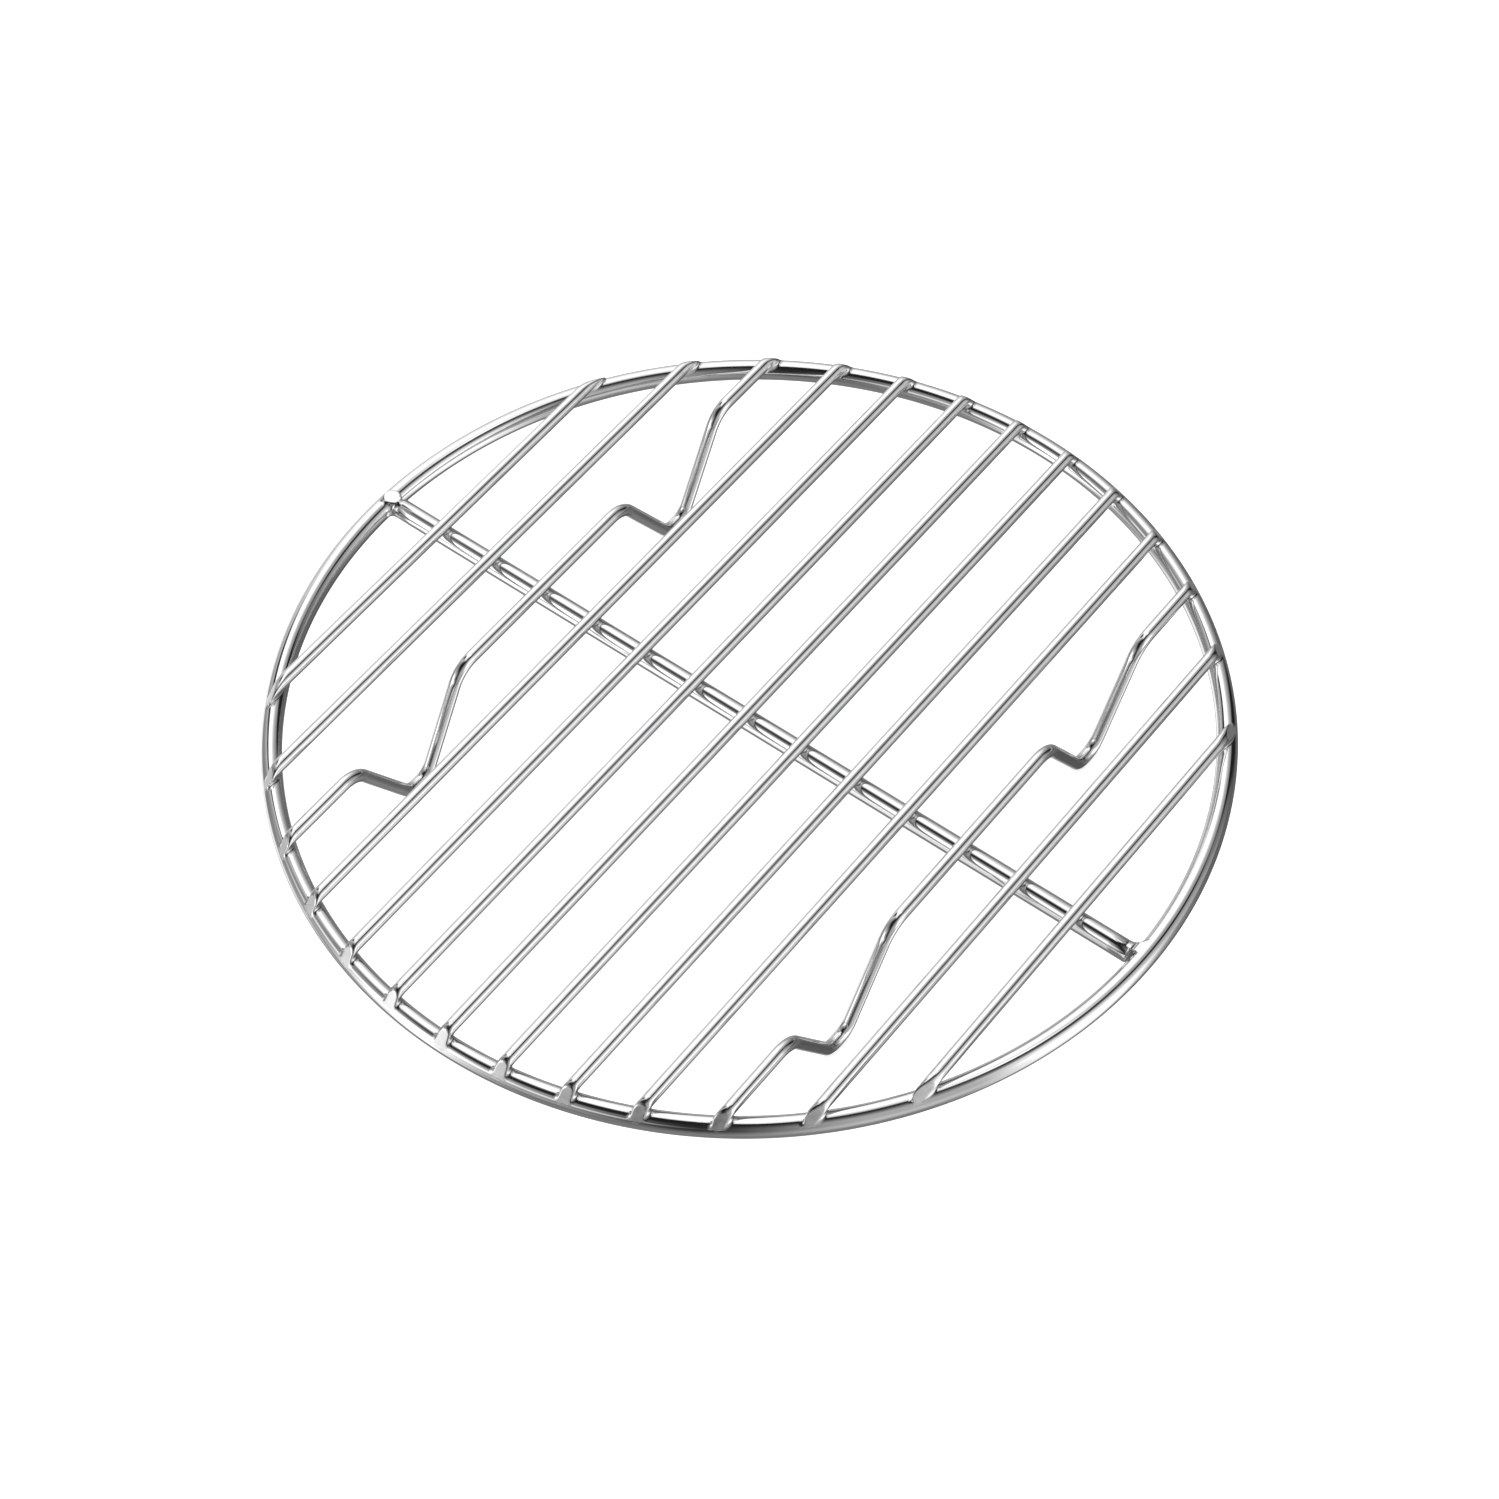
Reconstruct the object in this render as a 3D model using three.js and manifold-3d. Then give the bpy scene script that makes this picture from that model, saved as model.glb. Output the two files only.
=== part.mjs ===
// Round wire cooling rack that stands on four feet bent from two of its own grid wires.
//
// Millimetres, +Z up. The origin lies on the surface that the rack stands on, under the middle
// of the ring. +X runs along the cross bar and +Y along the grid wires.

import * as THREE from 'three';
import { mergeVertices } from 'three/addons/utils/BufferGeometryUtils.js';
import Module from 'manifold-3d';

// ---- Driving dimensions ----

const RACK_DIAMETER = 190; // over the outside of the ring

const RING_WIRE = 4.2; // wire diameters
const BAR_WIRE = 4.2;
const GRID_WIRE = 2.6;

const GRID_COUNT = 13; // grid wires, side by side
const GRID_PITCH = 13;
const LEG_PLACES = { leg_wire_left: 3, leg_wire_right: 11 }; // which grid wires carry the feet

const FOOT_SPREAD = 83.4; // between the middles of the two feet of a leg wire
const FOOT_MOUTH = 31.5; // width of a foot at the grid, corner to corner along the wire's axis
const FOOT_SOLE = 5.4; // the same along its flat bottom
const FOOT_DROP = 19.5; // from the axis of the grid wires down to the axis of the sole
const FOOT_LEAN = 0.7; // how far a sole stands in, towards the middle of the rack
const MOUTH_BEND = 7; // bend radii of the wire's axis
const SOLE_BEND = 4.3;

const FEET_SHIFT = 0.8; // the feet, taken together, sit this far along +Y from the ring's middle
const BAR_SHIFT = 0.3; // and the bar this far
const BAR_SKEW = THREE.MathUtils.degToRad(1.2); // the bar is welded this much out of square
const BAR_END_GAP = 0.6; // between the square-cut bar and the ring, filled by the weld

const GRIND_ANGLE = THREE.MathUtils.degToRad(35); // where on the ring the ground wire ends run out
const WELD_GAP = 0.3; // clearance of a weld bead to the wires that it joins
const BEAD_RADII = new THREE.Vector3(2.4, 2.4, 1.6);
const BEAD_RISE = 0.65; // top of a bead above the top of the ring

// ---- Fineness ----

const SECTION_SIDES = 12; // a wire's section has flats on its top and bottom
const RING_STEPS = 96;
const BEND_STEPS = 5;
const GRIND_STEPS = 192;

// ---- Worked out from the above ----

const ringRadius = (RACK_DIAMETER - RING_WIRE) / 2; // to the axis of the ring's wire
const gridAxisZ = GRID_WIRE / 2 + FOOT_DROP;
const seatZ = gridAxisZ - GRID_WIRE / 2; // top of the ring and of the bar, where the grid lies
const ringAxisZ = seatZ - RING_WIRE / 2;
const barAxisZ = seatZ - BAR_WIRE / 2;
const barHalfLength = ringRadius - RING_WIRE / 2 - BAR_END_GAP;

const wasm = await Module();
wasm.setup();

// ---- Solids ----

function toSolid(geometry) {
  const bare = geometry.clone();
  bare.deleteAttribute('normal');
  bare.deleteAttribute('uv');
  const merged = mergeVertices(bare);
  return new wasm.Manifold(
    new wasm.Mesh({
      numProp: 3,
      vertProperties: Float32Array.from(merged.getAttribute('position').array),
      triVerts: Uint32Array.from(merged.getIndex().array),
    }),
  );
}

function toGeometry(solid) {
  const mesh = solid.getMesh();
  const geometry = new THREE.BufferGeometry();
  geometry.setAttribute('position', new THREE.BufferAttribute(Float32Array.from(mesh.vertProperties), 3));
  geometry.setIndex(new THREE.BufferAttribute(Uint32Array.from(mesh.triVerts), 1));
  geometry.computeVertexNormals();
  return geometry;
}

// The section of a round wire: a polygon that measures the wire's diameter across its flats.
function wireSection(diameter) {
  const cornerRadius = diameter / 2 / Math.cos(Math.PI / SECTION_SIDES);
  const corners = [];
  for (let side = 0; side < SECTION_SIDES; side++) {
    const angle = ((side + 0.5) / SECTION_SIDES) * 2 * Math.PI;
    corners.push(new THREE.Vector2(cornerRadius * Math.cos(angle), cornerRadius * Math.sin(angle)));
  }
  return corners;
}

// The axis of a bent wire, from its corners and the bend radius at each inner corner. It has
// stations only at its ends and along the bends, and none along the straight stretches.
class WireAxis extends THREE.Curve {
  constructor(corners, bendRadii = []) {
    super();
    const directions = corners.slice(1).map((corner, i) => corner.clone().sub(corners[i]).normalize());
    this.stations = [{ point: corners[0], tangent: directions[0] }];
    bendRadii.forEach((radius, i) => this.addBend(corners[i + 1], directions[i], directions[i + 1], radius));
    this.stations.push({ point: corners.at(-1), tangent: directions.at(-1) });
  }

  addBend(corner, incoming, outgoing, radius) {
    const turn = incoming.angleTo(outgoing);
    const hinge = incoming.clone().cross(outgoing).normalize();
    const start = corner.clone().addScaledVector(incoming, -radius * Math.tan(turn / 2));
    const toCentre = hinge.clone().cross(incoming);
    const centre = start.clone().addScaledVector(toCentre, radius);
    for (let step = 0; step <= BEND_STEPS; step++) {
      const angle = (turn * step) / BEND_STEPS;
      const spoke = toCentre.clone().multiplyScalar(-radius).applyAxisAngle(hinge, angle);
      this.stations.push({
        point: centre.clone().add(spoke),
        tangent: incoming.clone().applyAxisAngle(hinge, angle),
      });
    }
  }

  get steps() {
    return this.stations.length - 1;
  }

  getPointAt(u, target = new THREE.Vector3()) {
    return target.copy(this.stations[Math.round(u * this.steps)].point);
  }

  getTangentAt(u, target = new THREE.Vector3()) {
    return target.copy(this.stations[Math.round(u * this.steps)].tangent);
  }
}

function wireAlong(axis, diameter) {
  return new THREE.ExtrudeGeometry(new THREE.Shape(wireSection(diameter)), {
    extrudePath: axis,
    steps: axis.steps,
  });
}

// A ring of wire round the Z axis.
function wireRing(radius, axisZ, diameter) {
  const profile = wireSection(diameter).map((corner) => new THREE.Vector2(corner.x + radius, corner.y + axisZ));
  profile.push(profile[0].clone());
  return new THREE.LatheGeometry(profile, RING_STEPS).rotateX(Math.PI / 2);
}

// Everything inside the cone that touches the ring's outer shoulder. The ends of the grid wires
// are ground to this cone, so each slopes down into the ring's outside.
function grindingCone() {
  const touchRadius = ringRadius + (RING_WIRE / 2) * Math.cos(GRIND_ANGLE);
  const touchZ = ringAxisZ + (RING_WIRE / 2) * Math.sin(GRIND_ANGLE);
  const radiusAt = (z) => touchRadius - (z - touchZ) * Math.tan(GRIND_ANGLE);
  const bottom = -GRID_WIRE;
  const top = gridAxisZ + GRID_WIRE;
  const profile = [
    new THREE.Vector2(0, bottom),
    new THREE.Vector2(radiusAt(bottom), bottom),
    new THREE.Vector2(radiusAt(top), top),
    new THREE.Vector2(0, top),
  ];
  return toSolid(new THREE.LatheGeometry(profile, GRIND_STEPS).rotateX(Math.PI / 2));
}

// ---- Pieces ----

const grindCone = grindingCone();

function gridWireX(place) {
  return (place - (GRID_COUNT + 1) / 2) * GRID_PITCH;
}

function groundGridWire(corners, bendRadii) {
  const rough = wireAlong(new WireAxis(corners, bendRadii), GRID_WIRE);
  return toGeometry(toSolid(rough).intersect(grindCone));
}

function straightGridWire(place) {
  const x = gridWireX(place);
  const corners = [new THREE.Vector3(x, -ringRadius * 1.1, gridAxisZ), new THREE.Vector3(x, ringRadius * 1.1, gridAxisZ)];
  return groundGridWire(corners);
}

// A grid wire that dips twice, each time down to a short flat sole and up again.
function legWire(place) {
  const x = gridWireX(place);
  const soleX = x - Math.sign(x) * FOOT_LEAN;
  const soleZ = gridAxisZ - FOOT_DROP;
  const corners = [new THREE.Vector3(x, -ringRadius * 1.1, gridAxisZ)];
  const bendRadii = [];
  for (const side of [-1, 1]) {
    const middle = FEET_SHIFT + (side * FOOT_SPREAD) / 2;
    corners.push(new THREE.Vector3(x, middle - FOOT_MOUTH / 2, gridAxisZ));
    corners.push(new THREE.Vector3(soleX, middle - FOOT_SOLE / 2, soleZ));
    corners.push(new THREE.Vector3(soleX, middle + FOOT_SOLE / 2, soleZ));
    corners.push(new THREE.Vector3(x, middle + FOOT_MOUTH / 2, gridAxisZ));
    bendRadii.push(MOUTH_BEND, SOLE_BEND, SOLE_BEND, MOUTH_BEND);
  }
  corners.push(new THREE.Vector3(x, ringRadius * 1.1, gridAxisZ));
  return groundGridWire(corners, bendRadii);
}

function barPoint(distance) {
  return new THREE.Vector3(
    distance * Math.cos(BAR_SKEW),
    BAR_SHIFT - distance * Math.sin(BAR_SKEW),
    barAxisZ,
  );
}

function crossBar(diameter = BAR_WIRE) {
  return wireAlong(new WireAxis([barPoint(-barHalfLength), barPoint(barHalfLength)]), diameter);
}

// A flat dome of weld metal over the joint between one end of the bar and the ring.
function crossBarWeld(side) {
  const joint = barPoint(side * (barHalfLength + BAR_END_GAP / 2));
  const dome = new THREE.SphereGeometry(1, 24, 12);
  dome.scale(BEAD_RADII.x, BEAD_RADII.y, BEAD_RADII.z);
  dome.translate(joint.x, joint.y, seatZ + BEAD_RISE - BEAD_RADII.z);
  const ringRoom = wireRing(ringRadius, ringAxisZ, RING_WIRE + 2 * WELD_GAP);
  const barRoom = crossBar(BAR_WIRE + 2 * WELD_GAP);
  return toGeometry(toSolid(dome).subtract(toSolid(ringRoom)).subtract(toSolid(barRoom)));
}

// ---- Finishes ----

function polishedSteel(color, roughness) {
  return new THREE.MeshStandardMaterial({ color, roughness, metalness: 1 });
}

const ringSteel = () => polishedSteel(0xd9d9da, 0.14);
const barSteel = () => polishedSteel(0xd6d6d8, 0.16);
const gridSteel = () => polishedSteel(0xdcdcde, 0.12);
const weldSteel = () => polishedSteel(0xcfcecd, 0.28);

// ---- The rack ----

const rack = new THREE.Group();

function addPiece(name, geometry, material) {
  const piece = new THREE.Mesh(geometry, material);
  piece.name = name;
  rack.add(piece);
}

addPiece('outer_ring', wireRing(ringRadius, ringAxisZ, RING_WIRE), ringSteel());
addPiece('cross_bar', crossBar(), barSteel());
addPiece('cross_bar_weld_left', crossBarWeld(-1), weldSteel());
addPiece('cross_bar_weld_right', crossBarWeld(1), weldSteel());

for (const [name, place] of Object.entries(LEG_PLACES)) {
  addPiece(name, legWire(place), gridSteel());
}

const legPlaces = Object.values(LEG_PLACES);
let straightCount = 0;
for (let place = 1; place <= GRID_COUNT; place++) {
  if (!legPlaces.includes(place)) {
    straightCount += 1;
    addPiece(`grid_wire_${straightCount}`, straightGridWire(place), gridSteel());
  }
}

export default rack;
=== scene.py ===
import math
from typing import NamedTuple

import bpy
import numpy as np
from mathutils import Matrix, Vector


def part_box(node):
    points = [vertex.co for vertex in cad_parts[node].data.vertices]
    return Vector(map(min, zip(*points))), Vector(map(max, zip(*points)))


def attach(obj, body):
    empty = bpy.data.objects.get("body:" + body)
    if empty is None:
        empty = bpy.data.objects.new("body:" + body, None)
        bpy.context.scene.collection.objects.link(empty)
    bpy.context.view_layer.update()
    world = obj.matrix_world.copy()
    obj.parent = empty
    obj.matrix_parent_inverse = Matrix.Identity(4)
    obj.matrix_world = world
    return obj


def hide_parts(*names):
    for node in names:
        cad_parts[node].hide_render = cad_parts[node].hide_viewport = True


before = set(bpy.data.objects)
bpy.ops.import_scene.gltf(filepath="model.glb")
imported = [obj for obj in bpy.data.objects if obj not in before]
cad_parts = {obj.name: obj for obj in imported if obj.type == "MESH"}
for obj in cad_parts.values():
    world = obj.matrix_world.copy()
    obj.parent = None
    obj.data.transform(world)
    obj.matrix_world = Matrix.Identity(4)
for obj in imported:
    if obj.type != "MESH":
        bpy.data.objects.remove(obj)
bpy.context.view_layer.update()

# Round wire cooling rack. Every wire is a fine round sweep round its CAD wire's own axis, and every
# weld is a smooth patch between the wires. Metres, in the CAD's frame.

MM = 0.001

# ---- Camera, at the photograph's viewing angle ----

CAMERA_AZIMUTH = math.radians(38.1)
CAMERA_ELEVATION = math.radians(52.6)
CAMERA_DISTANCE = 0.799
CAMERA_AIM = (4.2 * MM, -5.3 * MM)    # on the level of the ring's axis
CAMERA_ROLL = math.radians(-1.5)
CAMERA_LENS = 99.0
CAMERA_SENSOR = 36.0
CAMERA_NEAREST = 0.01
CAMERA_FARTHEST = 50.0

# ---- The feet, as in the CAD, because a node's box doesn't tell their bends ----

FOOT_SPREAD = 83.4 * MM
FOOT_MOUTH = 31.5 * MM
FOOT_SOLE = 5.4 * MM
MOUTH_BEND = 7.0 * MM
SOLE_BEND = 4.3 * MM
FEET_SHIFT = 0.8 * MM

# ---- Ends of the grid wires: welded to the ring, then ground to a cone ----

GRIND_ANGLE = math.radians(35)    # how far up the ring's outside the ground faces run out
RING_FILLET = 1.5 * MM            # how far the weld metal rounds the corner from wire to ring
SLANT_LOSS = 0.6                  # share of that fillet lost as a wire crosses the ring at a slant
RIM_ROUNDING = 1.2 * MM           # of a ground end's top edge, fading away down to the ring
LEAST_RISE = 0.1                  # keeps that rounding above nothing at the ring
GROUND_DEPTH = 0.04 * MM          # a face this near the cone has been ground
END_PATCH_FLOOR = 0.2             # where an end's patch starts, in ring wire radii above its axis

# ---- Where the grid wires cross the bar ----

BAR_FILLET = 0.9 * MM
CROSSING_BOX = np.array((2.2, 2.4, 0.9)) * MM    # half the size of the box round such a weld

# ---- Ends of the cross bar: a web of weld metal at each, and a flat round button on the left one ----

BAR_CHAMFER = 0.25 * MM
WEB_FILLETS = {-1: 1.6 * MM, 1: 2.2 * MM}        # at the left (-1) and right (1) end
WEB_TILT = math.radians(40)                      # of the web's free edge
WEB_OVERLAP = 0.1 * MM                           # of the web past the middle of the bar
WEB_DEPTH = 1.2 * MM                             # of that edge's middle below the ring's top
WEB_ROUNDING = 0.7 * MM
BUTTON_RADIUS = 1.9 * MM
BUTTON_HEIGHT = 0.8 * MM
BUTTON_RISE = 0.25 * MM                          # of the button's top above the ring's
BUTTON_INWARD = 0.8 * MM                         # of its middle from the middle of the ring's wire
BUTTON_SQUARENESS = 5
BUTTON_FILLET = 0.5 * MM
BAR_WELD_BOX = np.array((4.6, 5.0, 2.6)) * MM    # half the size of the box round such a weld

# ---- Fineness ----

WIRE_SIDES = 56
RING_SIDES = 64
RING_STEPS = 360
BEND_STEPS = 14
RUN_STEP = 4.0 * MM
SHARP_ANGLE = math.radians(50)
PATCH_CELL = 0.15 * MM
BAR_WELD_CELL = 0.1 * MM
PATCH_MARGIN = 0.6 * MM     # between a fillet and the sides of the box that bounds its patch
PATCH_INSET = 0.006 * MM    # a patch lies this far inside the wires where it has run out
SETTLE_ROUNDS = 4
SETTLE_STEP = 0.01 * MM
LEAST_SLOPE = 0.5

# ---- Places worked out from the frame ----

ring_low, ring_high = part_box("outer_ring")
ring_wire_radius = (ring_high.z - ring_low.z) / 2
ring_radius = (ring_high.x - ring_low.x) / 2 - ring_wire_radius
ring_z = (ring_high.z + ring_low.z) / 2

bar_low, bar_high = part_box("cross_bar")
bar_wire_radius = (bar_high.z - bar_low.z) / 2

grid_low, grid_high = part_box("grid_wire_1")
grid_wire_radius = (grid_high.z - grid_low.z) / 2
grid_z = (grid_high.z + grid_low.z) / 2
grid_top = grid_z + grid_wire_radius

# The cone that the wire ends are ground to touches the ring at its shoulder.
shoulder_z = ring_z + ring_wire_radius * math.sin(GRIND_ANGLE)
shoulder_radius = ring_radius + ring_wire_radius * math.cos(GRIND_ANGLE)


def bar_ends():
    """The middles of the cross bar's two cut faces."""
    corners = np.array([v.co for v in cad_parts["cross_bar"].data.vertices])
    left = corners[corners[:, 0] < 0].mean(axis=0)
    right = corners[corners[:, 0] > 0].mean(axis=0)
    return left, right


bar_left, bar_right = bar_ends()
bar_length = float(np.linalg.norm(bar_right - bar_left))
bar_way = (bar_right - bar_left) / bar_length


# ---- Mesh building ----

class Shells:
    """One piece in the making: closed shells of faces, each face with its UVs and material number."""

    def __init__(self):
        self.points = []
        self.faces = []
        self.uvs = []
        self.slots = []

    def add(self, points, faces, uvs=None, slots=None):
        first = len(self.points)
        for number, face in enumerate(faces):
            self.faces.append([first + corner for corner in face])
            self.uvs.append(uvs[number] if uvs else [(0.0, 0.0)] * len(face))
            self.slots.append(slots[number] if slots else 0)
        self.points.extend(map(tuple, points))

    def piece(self, materials, node, slot):
        """The piece that stands for the CAD node, with the given materials; slot is not used."""
        name = node + "_look"
        mesh = bpy.data.meshes.new(name)
        mesh.from_pydata(self.points, [], self.faces)
        layer = mesh.uv_layers.new(name="UVMap")
        layer.data.foreach_set("uv", [value for face in self.uvs for uv in face for value in uv])
        mesh.polygons.foreach_set("material_index", self.slots)
        mesh.polygons.foreach_set("use_smooth", [True] * len(self.faces))
        mesh.set_sharp_from_angle(angle=SHARP_ANGLE)
        piece = bpy.data.objects.new(name, mesh)
        bpy.context.scene.collection.objects.link(piece)
        for material in materials:
            mesh.materials.append(material)
        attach(piece, "root")
        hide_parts(node)


def sweep(points, tangents, across, radius, end_chamfer=0.0):
    """A closed round wire through the stations; across is a direction roughly square to the wire."""
    points = np.asarray(points, float)
    tangents = np.asarray(tangents, float)
    first = across - (tangents @ across)[:, None] * tangents
    first /= np.linalg.norm(first, axis=1)[:, None]
    second = np.cross(tangents, first)
    angles = (2 * math.pi * np.arange(WIRE_SIDES) / WIRE_SIDES)[None, :, None]
    spokes = np.cos(angles) * first[:, None] + np.sin(angles) * second[:, None]
    reach = np.full((len(points), 1, 1), radius)
    reach[[0, -1]] -= end_chamfer
    rings = points[:, None] + reach * spokes
    lengths = np.concatenate([[0], np.cumsum(np.linalg.norm(np.diff(points, axis=0), axis=1))])
    girth = 2 * math.pi * radius
    vertices = list(rings.reshape(-1, 3))
    faces = []
    uvs = []
    for station in range(len(points) - 1):
        for side in range(WIRE_SIDES):
            after = (side + 1) % WIRE_SIDES
            low = station * WIRE_SIDES
            high = low + WIRE_SIDES
            faces.append((low + side, low + after, high + after, high + side))
            v0 = girth * side / WIRE_SIDES
            v1 = girth * (side + 1) / WIRE_SIDES
            u0 = lengths[station]
            u1 = lengths[station + 1]
            uvs.append(((u0, v0), (u0, v1), (u1, v1), (u1, v0)))
    for station, turn in ((0, -1), (len(points) - 1, 1)):
        centre = len(vertices)
        vertices.append(points[station])
        for side in range(WIRE_SIDES):
            after = (side + 1) % WIRE_SIDES
            edge = (station * WIRE_SIDES + side, station * WIRE_SIDES + after)
            faces.append((centre, *edge) if turn > 0 else (centre, *edge[::-1]))
            uvs.append(((lengths[station], 0.0),) * 3)
    return vertices, faces, uvs


def run(start, end):
    """Stations along a straight stretch, with the tangent at each."""
    start = np.asarray(start, float)
    end = np.asarray(end, float)
    length = float(np.linalg.norm(end - start))
    count = max(1, round(length / RUN_STEP))
    points = [start + (end - start) * i / count for i in range(count + 1)]
    tangents = [(end - start) / length] * (count + 1)
    return points, tangents


def bent_axis(corners, radii):
    """Stations of a wire with rounded corners."""
    corners = [np.asarray(corner, float) for corner in corners]
    points = []
    tangents = []
    last = corners[0]
    for before, corner, after, radius in zip(corners, corners[1:], corners[2:], radii):
        incoming = (corner - before) / np.linalg.norm(corner - before)
        outgoing = (after - corner) / np.linalg.norm(after - corner)
        turn = math.acos(float(np.clip(incoming @ outgoing, -1, 1)))
        start = corner - incoming * radius * math.tan(turn / 2)
        stretch, ways = run(last, start)
        points += stretch[:-1]
        tangents += ways[:-1]
        toward = outgoing - incoming * (outgoing @ incoming)
        toward /= np.linalg.norm(toward)
        for step in range(BEND_STEPS + 1):
            angle = turn * step / BEND_STEPS
            points.append(start + radius * (math.sin(angle) * incoming + (1 - math.cos(angle)) * toward))
            tangents.append(math.cos(angle) * incoming + math.sin(angle) * toward)
        last = points.pop()
        tangents.pop()
    stretch, ways = run(last, corners[-1])
    return points + stretch, tangents + ways


# ---- Distances to the wires' surfaces, negative inside ----

def blend_low(a, b, width):
    """The smaller of two distances, with the corner between them filled over width."""
    overlap = np.maximum(width - np.abs(a - b), 0) / width
    return np.minimum(a, b) - overlap * overlap * width / 4


def blend_high(a, b, width):
    """The greater of two distances, with the edge between them rounded over width."""
    return -blend_low(-a, -b, width)


def to_ring(p):
    from_axis = np.hypot(p[..., 0], p[..., 1]) - ring_radius
    return np.hypot(from_axis, p[..., 2] - ring_z) - ring_wire_radius


def to_grid_wire(p, x):
    return np.hypot(p[..., 0] - x, p[..., 2] - grid_z) - grid_wire_radius


def to_bar(p):
    offset = p - bar_left
    along = offset @ bar_way
    beside = np.linalg.norm(offset - along[..., None] * bar_way, axis=-1) - bar_wire_radius
    return np.maximum(beside, np.maximum(-along, along - bar_length))


def to_grind(p):
    """Distance outside the cone that the wire ends are ground to."""
    out = np.hypot(p[..., 0], p[..., 1]) - shoulder_radius
    up = p[..., 2] - shoulder_z
    return out * math.cos(GRIND_ANGLE) + up * math.sin(GRIND_ANGLE)


def to_box(p, low, high):
    return np.max(np.maximum(low - p, p - high), axis=-1)


# ---- Surfaces from distances ----

# The corners of a unit cell, and the pairs of them that its edges join.
CORNERS = np.array([[(corner >> axis) & 1 for axis in range(3)] for corner in range(8)])
EDGES = [(a, a ^ bit) for a in range(8) for bit in (1, 2, 4) if not a & bit]


def cell_points(value, low, cell):
    """One point in each cell that the zero level crosses, and each cell's point number, or -1."""
    cells = np.array(value.shape) - 1
    corner_values = np.stack(
        [value[c[0]:c[0] + cells[0], c[1]:c[1] + cells[1], c[2]:c[2] + cells[2]] for c in CORNERS],
        axis=-1,
    )
    filled = (corner_values < 0).sum(axis=-1)
    crossed = (filled > 0) & (filled < 8)
    number = np.full(cells, -1)
    number[crossed] = np.arange(crossed.sum())
    corner_values = corner_values[crossed]
    total = np.zeros((len(corner_values), 3))
    hits = np.zeros(len(corner_values))
    for a, b in EDGES:
        value_a = corner_values[:, a]
        value_b = corner_values[:, b]
        cut = (value_a < 0) != (value_b < 0)
        share = np.where(cut, value_a / np.where(cut, value_a - value_b, 1), 0)
        total += cut[:, None] * (CORNERS[a] + share[:, None] * (CORNERS[b] - CORNERS[a]))
        hits += cut
    points = low + (np.argwhere(crossed) + total / hits[:, None]) * cell
    return points, number


def cell_quads(value, number, axis):
    """A quad across each lattice edge along axis that the zero level crosses."""
    u = (axis + 1) % 3
    v = (axis + 2) % 3
    inside = value < 0
    here = np.take(inside, range(inside.shape[axis] - 1), axis=axis)
    ahead = np.take(inside, range(1, inside.shape[axis]), axis=axis)
    edges = np.argwhere(here != ahead)
    for other in (u, v):
        edges = edges[(edges[:, other] > 0) & (edges[:, other] < number.shape[other])]
    step_u = np.eye(3, dtype=int)[u]
    step_v = np.eye(3, dtype=int)[v]
    loop = [edges - step_u - step_v, edges - step_v, edges, edges - step_u]
    quads = np.stack([number[tuple(cell.T)] for cell in loop], axis=-1)
    turned = ~here[tuple(edges.T)]
    quads[turned] = quads[turned][:, ::-1]
    return quads


def level_surface(distance, low, high, cell):
    """The closed surface where distance is zero, as quads: one point in each cell it crosses."""
    counts = np.ceil((high - low) / cell).astype(int) + 1
    lattice = np.stack(np.meshgrid(*[np.arange(n) for n in counts], indexing="ij"), axis=-1)
    value = distance(low + lattice * cell)
    points, number = cell_points(value, low, cell)
    return points, np.concatenate([cell_quads(value, number, axis) for axis in range(3)])


def settle(points, distance):
    """Moves points along the distance's slope until they lie on its zero level."""
    steps = SETTLE_STEP * np.eye(3)
    for _ in range(SETTLE_ROUNDS):
        rises = [distance(points + step) - distance(points - step) for step in steps]
        slope = np.stack(rises, axis=-1) / (2 * SETTLE_STEP)
        square = np.maximum((slope * slope).sum(axis=-1), LEAST_SLOPE ** 2)
        points = points - (distance(points) / square)[:, None] * slope
    return points


def weld_patch(shells, distance, low, high, cell=PATCH_CELL, slot=0, ground_slot=0):
    """Adds weld metal: the zero level of distance within a small box, closed by the box's sides."""
    low = np.asarray(low, float)
    high = np.asarray(high, float)

    def bounded(p):
        return np.maximum(distance(p) + PATCH_INSET, to_box(p, low, high))

    margin = 2 * cell
    points, faces = level_surface(bounded, low - margin, high + margin, cell)
    points = settle(points, bounded)
    is_ground = (np.abs(to_grind(points[faces])) < GROUND_DEPTH).all(axis=1)
    shells.add(points, faces.tolist(), slots=np.where(is_ground, ground_slot, slot).tolist())


# ---- Materials ----

NOISE_SPAN = (0.3, 0.7)               # the part of a noise's range that its values fill
LINE_SCALE = (60.0, 9000.0, 1.0)      # drawing lines per metre: along the wire, round it
LINE_DETAIL = 4.0
LINE_STRENGTH = 0.25
LINE_DEPTH = 0.001 * MM
WELD_BUMP_STRENGTH = 0.2
WELD_BUMP_DEPTH = 0.006 * MM


class Clouds(NamedTuple):
    """Soft patches in a metal's colour and gloss."""

    scale: float      # per metre
    detail: float
    shade: float      # of the darkest patches, as a share of the metal's colour
    span: tuple       # the part of the noise's range that goes from darkest to lightest


WIRE_CLOUDS = Clouds(scale=260.0, detail=5.0, shade=0.93, span=(0.25, 0.75))
WELD_CLOUDS = Clouds(scale=900.0, detail=4.0, shade=0.86, span=NOISE_SPAN)


def new_material(name):
    material = bpy.data.materials.new(name)
    material.use_nodes = True
    material.node_tree.nodes.clear()
    return material, material.node_tree.nodes, material.node_tree.links


def noise(nodes, links, vector, scale, detail):
    texture = nodes.new("ShaderNodeTexNoise")
    texture.inputs["Scale"].default_value = scale
    texture.inputs["Detail"].default_value = detail
    links.new(vector, texture.inputs["Vector"])
    return texture.outputs["Fac"]


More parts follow.
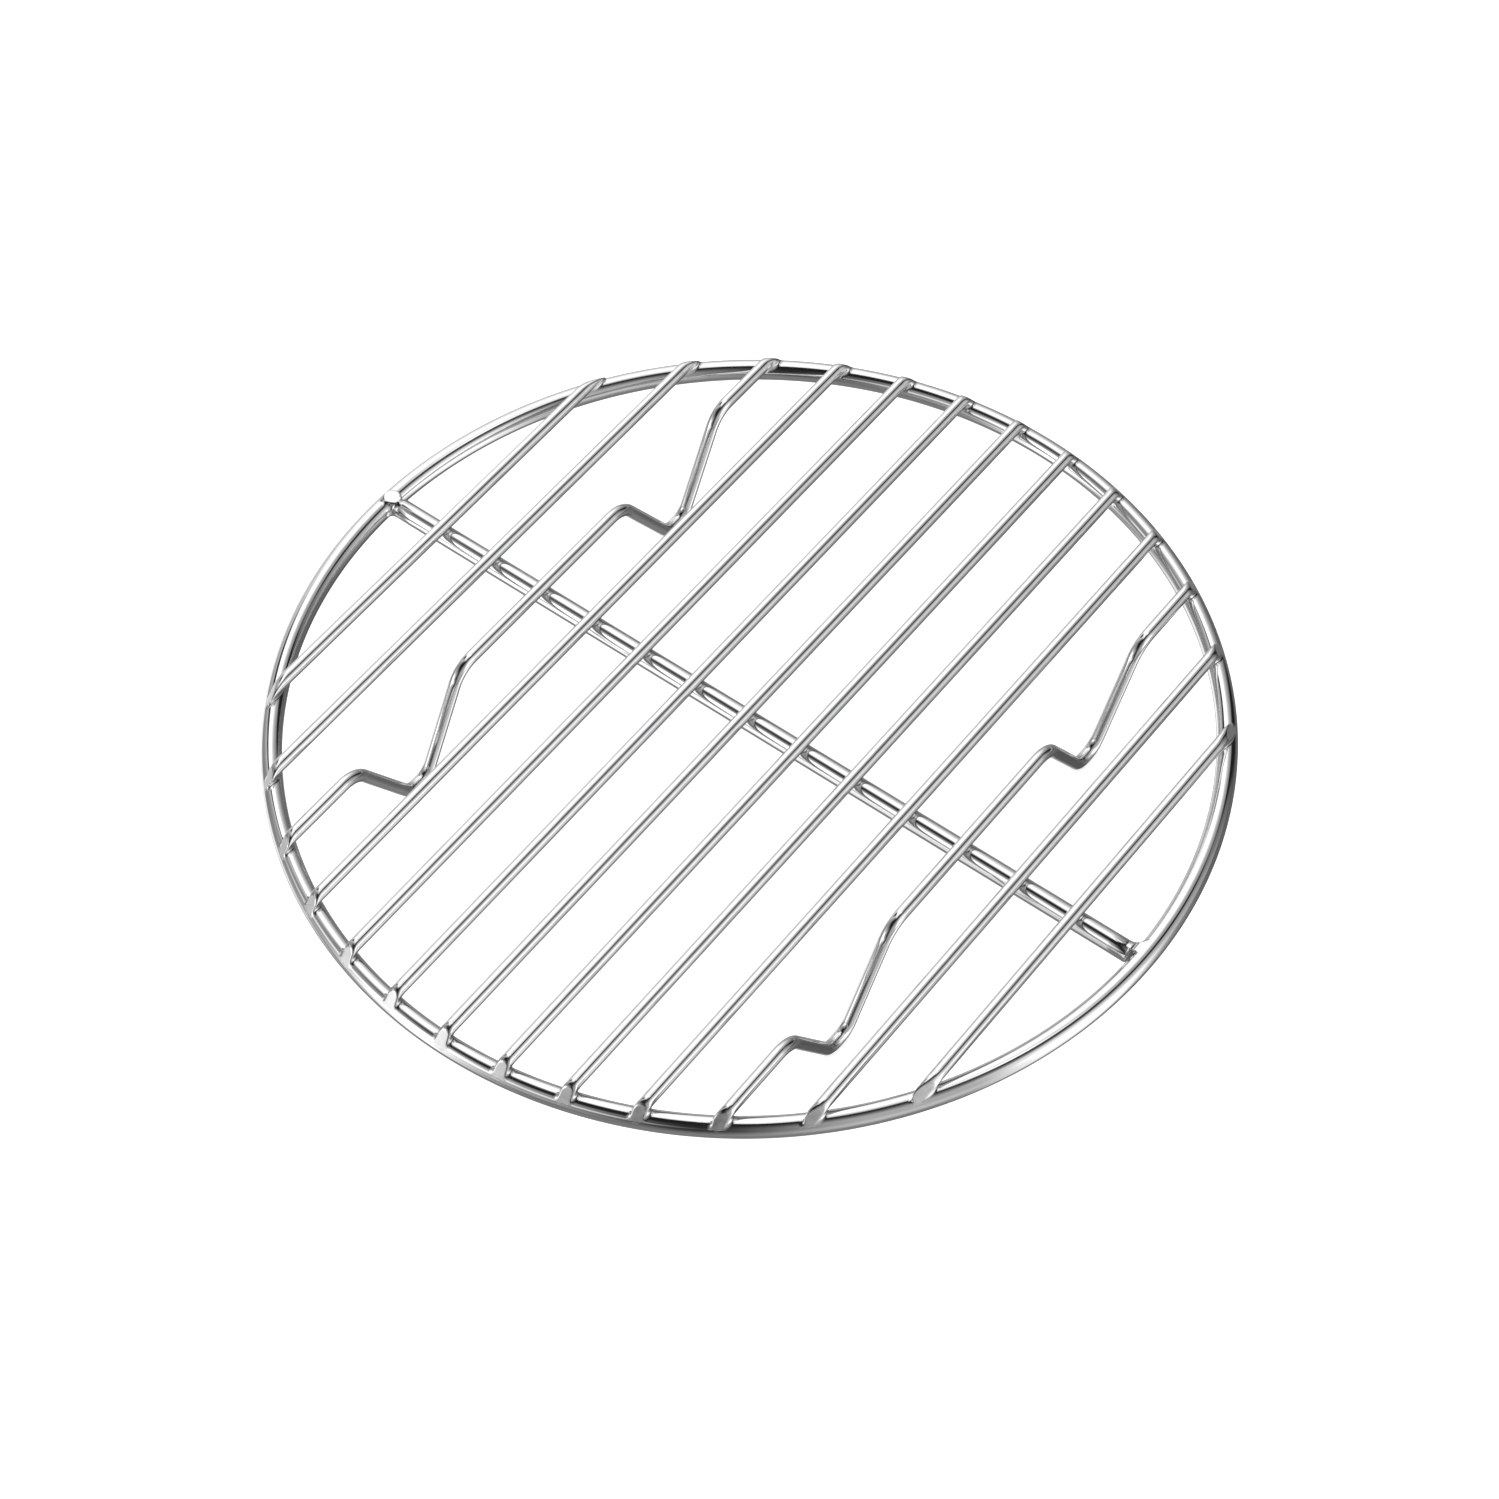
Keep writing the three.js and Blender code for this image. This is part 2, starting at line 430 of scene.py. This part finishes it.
def clouded_metal(name, tint, roughness, look):
    """A metal with clouds. Returns the material, its shader, its coordinates and the clouds' noise."""
    material, nodes, links = new_material(name)
    output = nodes.new("ShaderNodeOutputMaterial")
    shader = nodes.new("ShaderNodeBsdfPrincipled")
    shader.inputs["Metallic"].default_value = 1.0
    links.new(shader.outputs["BSDF"], output.inputs["Surface"])
    place = nodes.new("ShaderNodeTexCoord")
    clouds = noise(nodes, links, place.outputs["Object"], look.scale, look.detail)

    gloss = nodes.new("ShaderNodeMapRange")
    gloss.inputs["From Min"].default_value = NOISE_SPAN[0]
    gloss.inputs["From Max"].default_value = NOISE_SPAN[1]
    gloss.inputs["To Min"].default_value = roughness[0]
    gloss.inputs["To Max"].default_value = roughness[1]
    links.new(clouds, gloss.inputs["Value"])
    links.new(gloss.outputs["Result"], shader.inputs["Roughness"])

    colour = nodes.new("ShaderNodeValToRGB")
    dark, light = colour.color_ramp.elements
    dark.position = look.span[0]
    dark.color = (*[channel * look.shade for channel in tint], 1)
    light.position = look.span[1]
    light.color = (*tint, 1)
    links.new(clouds, colour.inputs["Fac"])
    links.new(colour.outputs["Color"], shader.inputs["Base Color"])
    return material, shader, place, clouds


def add_bump(material, shader, height, strength, depth):
    bump = material.node_tree.nodes.new("ShaderNodeBump")
    bump.inputs["Strength"].default_value = strength
    bump.inputs["Distance"].default_value = depth
    material.node_tree.links.new(height, bump.inputs["Height"])
    material.node_tree.links.new(bump.outputs["Normal"], shader.inputs["Normal"])


def polished_steel(name, tint, roughness):
    """Bright drawn wire: fine lines along its length, faint cloudiness and small changes of gloss."""
    material, shader, place, _ = clouded_metal(name, tint, roughness, WIRE_CLOUDS)
    nodes = material.node_tree.nodes
    links = material.node_tree.links
    stretch = nodes.new("ShaderNodeMapping")
    stretch.inputs["Scale"].default_value = LINE_SCALE
    links.new(place.outputs["UV"], stretch.inputs["Vector"])
    lines = noise(nodes, links, stretch.outputs["Vector"], 1.0, LINE_DETAIL)
    add_bump(material, shader, lines, LINE_STRENGTH, LINE_DEPTH)
    return material


def weld_metal(name, tint, roughness):
    """Steel that has melted or been ground: smooth, duller than the wire, faintly mottled."""
    material, shader, _, clouds = clouded_metal(name, tint, roughness, WELD_CLOUDS)
    add_bump(material, shader, clouds, WELD_BUMP_STRENGTH, WELD_BUMP_DEPTH)
    return material


ring_steel = polished_steel("ring_steel", tint=(0.83, 0.83, 0.835), roughness=(0.06, 0.11))
bar_steel = polished_steel("bar_steel", tint=(0.83, 0.83, 0.835), roughness=(0.06, 0.11))
grid_steel = polished_steel("grid_steel", tint=(0.84, 0.84, 0.845), roughness=(0.06, 0.11))
weld_steel = weld_metal("weld_steel", tint=(0.83, 0.83, 0.83), roughness=(0.10, 0.18))
ground_steel = weld_metal("ground_steel", tint=(0.88, 0.88, 0.88), roughness=(0.36, 0.46))

GRID_MATERIALS = [grid_steel, weld_steel, ground_steel]
WELD_SLOT = GRID_MATERIALS.index(weld_steel)
GROUND_SLOT = GRID_MATERIALS.index(ground_steel)


# ---- Pieces ----

def make_ring():
    around = (2 * math.pi * np.arange(RING_STEPS) / RING_STEPS)[:, None]
    section = (2 * math.pi * np.arange(RING_SIDES) / RING_SIDES)[None, :]
    reach = ring_radius + ring_wire_radius * np.cos(section)
    height = np.broadcast_to(ring_z + ring_wire_radius * np.sin(section), (RING_STEPS, RING_SIDES))
    points = np.stack([reach * np.cos(around), reach * np.sin(around), height], axis=-1)
    faces = []
    uvs = []
    for step in range(RING_STEPS):
        here = step * RING_SIDES
        ahead = ((step + 1) % RING_STEPS) * RING_SIDES
        u0 = 2 * math.pi * ring_radius * step / RING_STEPS
        u1 = 2 * math.pi * ring_radius * (step + 1) / RING_STEPS
        for side in range(RING_SIDES):
            after = (side + 1) % RING_SIDES
            faces.append((here + side, ahead + side, ahead + after, here + after))
            v0 = 2 * math.pi * ring_wire_radius * side / RING_SIDES
            v1 = 2 * math.pi * ring_wire_radius * (side + 1) / RING_SIDES
            uvs.append(((u0, v0), (u1, v0), (u1, v1), (u0, v1)))
    shells = Shells()
    shells.add(points.reshape(-1, 3), faces, uvs)
    shells.piece([ring_steel], "outer_ring", "ring_steel")


def fillet_reach(wire_radius, fillet):
    """How far beside a wire's axis a fillet runs out on a flat that touches the wire."""
    return math.sqrt((wire_radius + fillet) ** 2 - wire_radius ** 2)


def wire_reach(x):
    """How far a grid wire's plain round part runs along Y: to a little before its ground end."""
    top_radius = shoulder_radius - (grid_top - shoulder_z) * math.tan(GRIND_ANGLE)
    end = math.sqrt((top_radius - RIM_ROUNDING) ** 2 - (abs(x) + grid_wire_radius) ** 2)
    return end - RIM_ROUNDING


def add_end_weld(shells, x, side):
    """The end of a grid wire at the front (side -1) or the back (1): welded to the ring, then ground."""
    slant = abs(x) / ring_radius
    squareness = math.sqrt(1 - slant ** 2)
    fillet = RING_FILLET * (1 - SLANT_LOSS * slant ** 2)

    def distance(p):
        welded = blend_low(to_ring(p), to_grid_wire(p, x), fillet)
        rise = np.clip((p[..., 2] - shoulder_z) / (grid_top - shoulder_z), LEAST_RISE, 1)
        return blend_high(welded, to_grind(p), RIM_ROUNDING * rise ** 2)

    middle = side * ring_radius * squareness
    inward = (fillet_reach(ring_wire_radius, fillet) + grid_wire_radius * slant) / squareness
    inward = max(inward, abs(middle) - wire_reach(x)) + PATCH_MARGIN
    past_shoulder = shoulder_radius - ring_radius + (grid_wire_radius + fillet) * slant
    outward = past_shoulder / squareness + PATCH_MARGIN
    aside = fillet_reach(grid_wire_radius, fillet) + PATCH_MARGIN
    front, back = sorted((middle - side * inward, middle + side * outward))
    low = (x - aside, front, ring_z + END_PATCH_FLOOR * ring_wire_radius)
    high = (x + aside, back, grid_top + PATCH_MARGIN)
    weld_patch(shells, distance, low, high, slot=WELD_SLOT, ground_slot=GROUND_SLOT)


def add_bar_crossing(shells, x):
    """The small fillets where a grid wire is welded to the cross bar."""

    def distance(p):
        return blend_low(to_bar(p), to_grid_wire(p, x), BAR_FILLET)

    y = bar_left[1] + (x - bar_left[0]) * bar_way[1] / bar_way[0]
    seat = np.array((x, y, grid_z - grid_wire_radius))
    low = seat - CROSSING_BOX
    high = seat + CROSSING_BOX
    weld_patch(shells, distance, low, high, slot=WELD_SLOT, ground_slot=WELD_SLOT)


def make_grid_wire(node, x, points, tangents):
    """A grid wire through the stations, with its two end welds and its weld to the bar."""
    shells = Shells()
    shells.add(*sweep(points, tangents, np.array((1.0, 0, 0)), grid_wire_radius))
    for side in (-1, 1):
        add_end_weld(shells, x, side)
    add_bar_crossing(shells, x)
    shells.piece(GRID_MATERIALS, node, "grid_steel")


def make_straight_wire(node):
    low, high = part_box(node)
    x = (low.x + high.x) / 2
    reach = wire_reach(x)
    make_grid_wire(node, x, *run((x, -reach, grid_z), (x, reach, grid_z)))


def make_leg_wire(node):
    """A grid wire that dips into two feet, whose soles stand in a little towards the middle."""
    low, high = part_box(node)
    lean = (high.x - low.x) - 2 * grid_wire_radius
    outward = -1 if low.x < 0 else 1
    x = low.x + grid_wire_radius if outward < 0 else high.x - grid_wire_radius
    sole_x = x - outward * lean
    sole_z = low.z + grid_wire_radius
    reach = wire_reach(x)
    corners = [(x, -reach, grid_z)]
    radii = []
    for side in (-1, 1):
        middle = FEET_SHIFT + side * FOOT_SPREAD / 2
        corners += [
            (x, middle - FOOT_MOUTH / 2, grid_z),
            (sole_x, middle - FOOT_SOLE / 2, sole_z),
            (sole_x, middle + FOOT_SOLE / 2, sole_z),
            (x, middle + FOOT_MOUTH / 2, grid_z),
        ]
        radii += [MOUTH_BEND, SOLE_BEND, SOLE_BEND, MOUTH_BEND]
    corners.append((x, reach, grid_z))
    make_grid_wire(node, x, *bent_axis(corners, radii))


def make_bar():
    way = bar_way * BAR_CHAMFER
    points, tangents = run(bar_left + way, bar_right - way)
    points = [bar_left, *points, bar_right]
    tangents = [bar_way, *tangents, bar_way]
    shells = Shells()
    shells.add(*sweep(points, tangents, np.array((0, 0, 1.0)), bar_wire_radius, BAR_CHAMFER))
    shells.piece([bar_steel], "cross_bar", "bar_steel")


def make_bar_weld(node, side):
    """The weld at the left (side -1) or right (1) end of the bar: a web that fills one upper corner.

    The other corner stays open, so the bar's cut end shows. The left weld also has a flat button on top.
    """
    top = ring_z + ring_wire_radius
    end = bar_left if side < 0 else bar_right
    joint = np.array([side * (ring_radius - ring_wire_radius), end[1], top])
    trimmed_way = np.array([0.0, side * math.cos(WEB_TILT), math.sin(WEB_TILT)])
    edge = joint - np.array([0.0, side * WEB_OVERLAP, WEB_DEPTH])
    radii = np.array([BUTTON_RADIUS, BUTTON_RADIUS, BUTTON_HEIGHT])
    button = np.array([side * (ring_radius - BUTTON_INWARD), end[1], top + BUTTON_RISE - BUTTON_HEIGHT])

    def to_button(p):
        offset = (p - button) / radii
        beside = np.hypot(offset[..., 0], offset[..., 1])
        up = np.abs(offset[..., 2])
        size = (beside ** BUTTON_SQUARENESS + up ** BUTTON_SQUARENESS) ** (1 / BUTTON_SQUARENESS)
        return (size - 1) * BUTTON_HEIGHT

    def distance(p):
        web = blend_low(to_ring(p), to_bar(p), WEB_FILLETS[side])
        web = blend_high(web, (edge - p) @ trimmed_way, WEB_ROUNDING)
        return blend_low(web, to_button(p), BUTTON_FILLET) if side < 0 else web

    shells = Shells()
    weld_patch(shells, distance, joint - BAR_WELD_BOX, joint + BAR_WELD_BOX, cell=BAR_WELD_CELL)
    shells.piece([weld_steel], node, "weld_steel")


make_ring()
make_bar()
make_bar_weld("cross_bar_weld_left", -1)
make_bar_weld("cross_bar_weld_right", 1)
for leg in ("leg_wire_left", "leg_wire_right"):
    make_leg_wire(leg)
for straight in sorted(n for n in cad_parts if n.startswith("grid_wire_")):
    make_straight_wire(straight)


# ---- Camera, floor and softbox ----

WHITE = (1, 1, 1, 1)
FLOOR_HALF_SIZE = 6.0
FLOOR_COLOUR = (0.92, 0.92, 0.92, 1)
FLOOR_ROUGHNESS = 0.9
FLOOR_GLOW = 0.45             # keeps the floor white between the rack's soft shadows
SOFTBOX_SIZE = 1.6
SOFTBOX_DISTANCE = 1.2
SOFTBOX_LEAN = 0.4            # how far behind the rack it hangs, for each metre of height
SOFTBOX_RADIANCE = 0.10


def camera_axes():
    """Unit directions to the right of the camera and from the object towards it, both level."""
    right = Vector((math.cos(CAMERA_AZIMUTH), math.sin(CAMERA_AZIMUTH), 0))
    toward = Vector((math.sin(CAMERA_AZIMUTH), -math.cos(CAMERA_AZIMUTH), 0))
    return right, toward


def make_camera():
    right, toward = camera_axes()
    back = toward * math.cos(CAMERA_ELEVATION) + Vector((0, 0, math.sin(CAMERA_ELEVATION)))
    data = bpy.data.cameras.new("camera")
    data.lens = CAMERA_LENS
    data.sensor_width = CAMERA_SENSOR
    data.clip_start = CAMERA_NEAREST
    data.clip_end = CAMERA_FARTHEST
    camera = bpy.data.objects.new("camera", data)
    bpy.context.scene.collection.objects.link(camera)
    level = Matrix((right, back.cross(right), back)).transposed()
    roll = Matrix.Rotation(CAMERA_ROLL, 3, "Z")
    aim = Vector((*CAMERA_AIM, ring_z))
    camera.matrix_world = Matrix.Translation(aim + back * CAMERA_DISTANCE) @ (level @ roll).to_4x4()
    bpy.context.scene.camera = camera


def make_softbox():
    """A square area light over the rack and a little behind it, which the steel doesn't mirror."""
    _, toward = camera_axes()
    way = (Vector((0, 0, 1)) - toward * SOFTBOX_LEAN).normalized()
    data = bpy.data.lights.new("overhead_softbox", "AREA")
    data.shape = "RECTANGLE"
    data.size = SOFTBOX_SIZE
    data.size_y = SOFTBOX_SIZE
    data.energy = SOFTBOX_RADIANCE * math.pi * SOFTBOX_SIZE ** 2
    light = bpy.data.objects.new("overhead_softbox", data)
    light.location = way * SOFTBOX_DISTANCE
    light.rotation_mode = "QUATERNION"
    light.rotation_quaternion = way.to_track_quat("Z", "Y")
    light.visible_camera = False
    light.visible_glossy = False
    bpy.context.scene.collection.objects.link(light)


def floor_white():
    """Plain white, and clear from below, so that the rack's underside can be looked at."""
    material, nodes, links = new_material("floor_white")
    output = nodes.new("ShaderNodeOutputMaterial")
    shader = nodes.new("ShaderNodeBsdfPrincipled")
    shader.inputs["Base Color"].default_value = FLOOR_COLOUR
    shader.inputs["Roughness"].default_value = FLOOR_ROUGHNESS
    shader.inputs["Specular IOR Level"].default_value = 0.0
    shader.inputs["Emission Color"].default_value = WHITE
    shader.inputs["Emission Strength"].default_value = FLOOR_GLOW
    side = nodes.new("ShaderNodeNewGeometry")
    clear = nodes.new("ShaderNodeBsdfTransparent")
    mix = nodes.new("ShaderNodeMixShader")
    links.new(side.outputs["Backfacing"], mix.inputs["Fac"])
    links.new(shader.outputs["BSDF"], mix.inputs[1])
    links.new(clear.outputs["BSDF"], mix.inputs[2])
    links.new(mix.outputs["Shader"], output.inputs["Surface"])
    return material


def make_floor():
    size = FLOOR_HALF_SIZE
    mesh = bpy.data.meshes.new("floor")
    corners = [(-size, -size, 0), (size, -size, 0), (size, size, 0), (-size, size, 0)]
    mesh.from_pydata(corners, [], [(0, 1, 2, 3)])
    mesh.materials.append(floor_white())
    floor = bpy.data.objects.new("floor", mesh)
    floor.visible_glossy = False
    bpy.context.scene.collection.objects.link(floor)


# ---- The dome that the steel mirrors ----

class Panel(NamedTuple):
    """A soft-edged patch of light on the dome, or of darkness if its strength is below nothing. Degrees."""

    aside: float          # of its middle, round from the camera's right hand towards the far side
    up: float             # of its middle, above the horizon
    half_width: float
    half_height: float
    soft_sides: float     # how far its sides fade, either way
    soft_ends: float      # the same for its top and bottom
    strength: float


# These numbers weren't chosen by hand. A least-squares fit to the reflections in the photo, made by a
# program outside this script, gave ten of the rows and the two values DOME_DARK and DOME_LOW. They were
# then rounded. Only front and floor_behind were changed much afterwards. The five rows black_flag,
# left_gap, left_low, right_gap and right_corner were placed against the same reflections.
PANELS = {
    "back": Panel(110, 50, half_width=20, half_height=50, soft_sides=45, soft_ends=60, strength=1.6),
    "left": Panel(200, 0, half_width=5, half_height=40, soft_sides=20, soft_ends=10, strength=1.5),
    "left_behind": Panel(200, 20, half_width=40, half_height=35, soft_sides=20, soft_ends=10, strength=0.35),
    "left_low": Panel(145, -30, half_width=25, half_height=14, soft_sides=15, soft_ends=8, strength=0.6),
    "left_gap": Panel(126, 38, half_width=3, half_height=14, soft_sides=8, soft_ends=8, strength=-1.8),
    "right": Panel(335, -15, half_width=15, half_height=40, soft_sides=10, soft_ends=10, strength=0.5),
    "right_high": Panel(350, 25, half_width=30, half_height=25, soft_sides=10, soft_ends=10, strength=0.35),
    "right_gap": Panel(36, 22, half_width=4, half_height=20, soft_sides=8, soft_ends=10, strength=-0.7),
    "right_corner": Panel(20, 47, half_width=10, half_height=3, soft_sides=8, soft_ends=8, strength=-0.6),
    "front_right": Panel(315, 15, half_width=40, half_height=45, soft_sides=20, soft_ends=25, strength=0.45),
    "front": Panel(205, 25, half_width=45, half_height=0, soft_sides=15, soft_ends=15, strength=1.2),
    "overhead": Panel(60, 75, half_width=35, half_height=60, soft_sides=10, soft_ends=35, strength=0.4),
    "overhead_right": Panel(45, 70, half_width=20, half_height=0, soft_sides=15, soft_ends=10, strength=1.6),
    "floor_behind": Panel(105, -60, half_width=35, half_height=10, soft_sides=30, soft_ends=20, strength=0.5),
    "black_flag": Panel(35, -55, half_width=25, half_height=25, soft_sides=20, soft_ends=15, strength=-0.13),
}
DOME_DARK = 0.035                    # the unlit dome
DOME_LOW = 0.24                      # how much lighter its lower part is
DOME_LOW_START = math.radians(20)    # where the lightening starts
DOME_LOW_FULL = math.radians(-40)    # and where it is full
DOME_CONTRAST = 1.3
DOME_GAIN = 1.25


def math_node(tree, operation, *values):
    """A math node whose inputs are numbers or the outputs of other nodes."""
    node = tree.nodes.new("ShaderNodeMath")
    node.operation = operation
    for socket, value in zip(node.inputs, values):
        if isinstance(value, bpy.types.NodeSocket):
            tree.links.new(value, socket)
        else:
            socket.default_value = value
    return node.outputs[0]


def fade(tree, value, low, high):
    """A soft step from 0 at low to 1 at high; low may be the greater of the two."""
    node = tree.nodes.new("ShaderNodeMapRange")
    node.interpolation_type = "SMOOTHSTEP"
    node.inputs["From Min"].default_value = low
    node.inputs["From Max"].default_value = high
    tree.links.new(value, node.inputs["Value"])
    return node.outputs["Result"]


def within(tree, offset, half, soft):
    """1 where the offset in radians is small, falling to 0 round half; half and soft in degrees."""
    distance = math_node(tree, "ABSOLUTE", offset)
    return fade(tree, distance, math.radians(half + soft), math.radians(half - soft))


def panel_light(tree, azimuth, elevation, panel):
    """The light that a panel adds in a direction."""
    aside = math_node(tree, "SUBTRACT", azimuth, math.radians(panel.aside) + CAMERA_AZIMUTH)
    aside = math_node(tree, "WRAP", aside, math.pi, -math.pi)
    up = math_node(tree, "SUBTRACT", elevation, math.radians(panel.up))
    across = within(tree, aside, panel.half_width, panel.soft_sides)
    upright = within(tree, up, panel.half_height, panel.soft_ends)
    return math_node(tree, "MULTIPLY", math_node(tree, "MULTIPLY", across, upright), panel.strength)


def background(tree, strength):
    node = tree.nodes.new("ShaderNodeBackground")
    node.inputs["Color"].default_value = WHITE
    if isinstance(strength, bpy.types.NodeSocket):
        tree.links.new(strength, node.inputs["Strength"])
    else:
        node.inputs["Strength"].default_value = strength
    return node.outputs["Background"]


def make_world():
    """Plain white for the camera and the floor; the steel mirrors a dim dome with soft panels."""
    world = bpy.data.worlds.new("studio")
    bpy.context.scene.world = world
    world.use_nodes = True
    world.cycles.sampling_method = "NONE"
    tree = world.node_tree
    tree.nodes.clear()
    place = tree.nodes.new("ShaderNodeTexCoord")
    split = tree.nodes.new("ShaderNodeSeparateXYZ")
    tree.links.new(place.outputs["Generated"], split.inputs[0])
    azimuth = math_node(tree, "ARCTAN2", split.outputs["Y"], split.outputs["X"])
    elevation = math_node(tree, "ARCSINE", split.outputs["Z"])
    light = math_node(tree, "MULTIPLY", fade(tree, elevation, DOME_LOW_START, DOME_LOW_FULL), DOME_LOW)
    light = math_node(tree, "ADD", light, DOME_DARK)
    for panel in PANELS.values():
        light = math_node(tree, "ADD", light, panel_light(tree, azimuth, elevation, panel))
    light = math_node(tree, "MAXIMUM", light, DOME_DARK)
    light = math_node(tree, "MULTIPLY", math_node(tree, "POWER", light, DOME_CONTRAST), DOME_GAIN)
    path = tree.nodes.new("ShaderNodeLightPath")
    mix = tree.nodes.new("ShaderNodeMixShader")
    tree.links.new(path.outputs["Is Glossy Ray"], mix.inputs["Fac"])
    tree.links.new(background(tree, 1.0), mix.inputs[1])
    tree.links.new(background(tree, light), mix.inputs[2])
    output = tree.nodes.new("ShaderNodeOutputWorld")
    tree.links.new(mix.outputs["Shader"], output.inputs["Surface"])


make_camera()
make_floor()
make_world()
make_softbox()

bpy.context.scene.view_settings.view_transform = "Standard"
